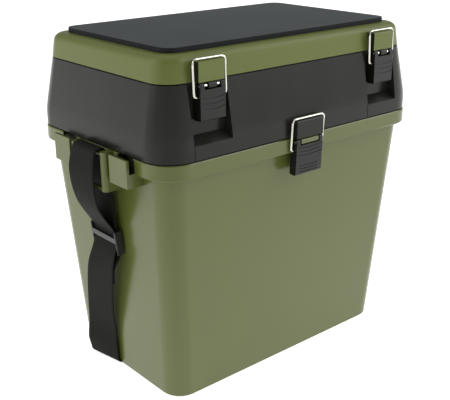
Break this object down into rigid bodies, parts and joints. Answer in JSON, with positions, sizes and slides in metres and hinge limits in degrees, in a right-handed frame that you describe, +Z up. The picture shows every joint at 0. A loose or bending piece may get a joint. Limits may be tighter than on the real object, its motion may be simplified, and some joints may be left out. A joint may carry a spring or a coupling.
{
  "type": "fishing seat box",
  "caption": "Upright moulded seat box for fishing: tapered tub, flared tray and padded lid hinged at the back, wire draw latches in front, webbing strap over the end lugs.",
  "frame": {"origin": "on the ground under the middle of the box", "axes": "+X along the front to the right as seen from in front, +Y to the back where the hinges are, +Z up"},
  "size_m": [0.4344, 0.2707, 0.3998],
  "materials": {
    "tub_plastic": "olive green moulded plastic, satin",
    "lid_plastic": "olive green moulded plastic, satin",
    "tray_plastic": "warm dark grey moulded plastic, satin",
    "seat_foam": "dark closed-cell foam, matte",
    "lever_plastic": "dark grey moulded plastic",
    "steel_wire": "bright plated steel",
    "strap_webbing": "woven black webbing",
    "slider_plastic": "dark grey plastic"
  },
  "bodies": {
    "tub": {"tub": "tub_plastic", "tray_hinge_pin_left": "steel_wire", "tray_hinge_pin_right": "steel_wire", "latch_pin_front": "steel_wire", "shoulder_strap": "strap_webbing", "strap_slider_left": "slider_plastic", "strap_slider_right": "slider_plastic"},
    "tray": {"tray": "tray_plastic", "lid_hinge_pin_left": "steel_wire", "lid_hinge_pin_right": "steel_wire", "latch_pin_left": "steel_wire", "latch_pin_right": "steel_wire"},
    "lid": {"lid": "lid_plastic", "seat_pad": "seat_foam"},
    "lever_left": {"latch_lever_left": "lever_plastic"},
    "lever_right": {"latch_lever_right": "lever_plastic"},
    "lever_front": {"latch_lever_front": "lever_plastic"},
    "bail_left": {"latch_bail_left": "steel_wire"},
    "bail_right": {"latch_bail_right": "steel_wire"},
    "bail_front": {"latch_bail_front": "steel_wire"}
  },
  "joints": [
    {"name": "tray_hinge", "type": "hinge", "parent": "tub", "child": "tray", "pos_m": [0, 0.1317, 0.28855], "axis": [-1, 0, 0], "range_deg": [0, 95]},
    {"name": "lid_hinge", "type": "hinge", "parent": "tray", "child": "lid", "pos_m": [0, 0.12, 0.36745], "axis": [-1, 0, 0], "range_deg": [0, 105]},
    {"name": "lever_left_hinge", "type": "hinge", "parent": "tray", "child": "lever_left", "pos_m": [-0.1304, -0.123, 0.3639], "axis": [-1, 0, 0], "range_deg": [0, 110]},
    {"name": "lever_right_hinge", "type": "hinge", "parent": "tray", "child": "lever_right", "pos_m": [0.1304, -0.123, 0.3639], "axis": [-1, 0, 0], "range_deg": [0, 110]},
    {"name": "lever_front_hinge", "type": "hinge", "parent": "tub", "child": "lever_front", "pos_m": [0, -0.1322, 0.2842], "axis": [-1, 0, 0], "range_deg": [0, 110]},
    {"name": "bail_left_hinge", "type": "hinge", "parent": "lever_left", "child": "bail_left", "pos_m": [-0.1304, -0.1214, 0.3527], "axis": [-1, 0, 0], "range_deg": [-143, 0]},
    {"name": "bail_right_hinge", "type": "hinge", "parent": "lever_right", "child": "bail_right", "pos_m": [0.1304, -0.1214, 0.3527], "axis": [-1, 0, 0], "range_deg": [-143, 0]},
    {"name": "bail_front_hinge", "type": "hinge", "parent": "lever_front", "child": "bail_front", "pos_m": [0, -0.12982, 0.27471], "axis": [-1, 0, 0], "range_deg": [-143, 0]}
  ],
  "couplings": [
    {"joint": "bail_left_hinge", "follows": "lever_left_hinge", "ratio": -1.3},
    {"joint": "bail_right_hinge", "follows": "lever_right_hinge", "ratio": -1.3},
    {"joint": "bail_front_hinge", "follows": "lever_front_hinge", "ratio": -1.3}
  ]
}
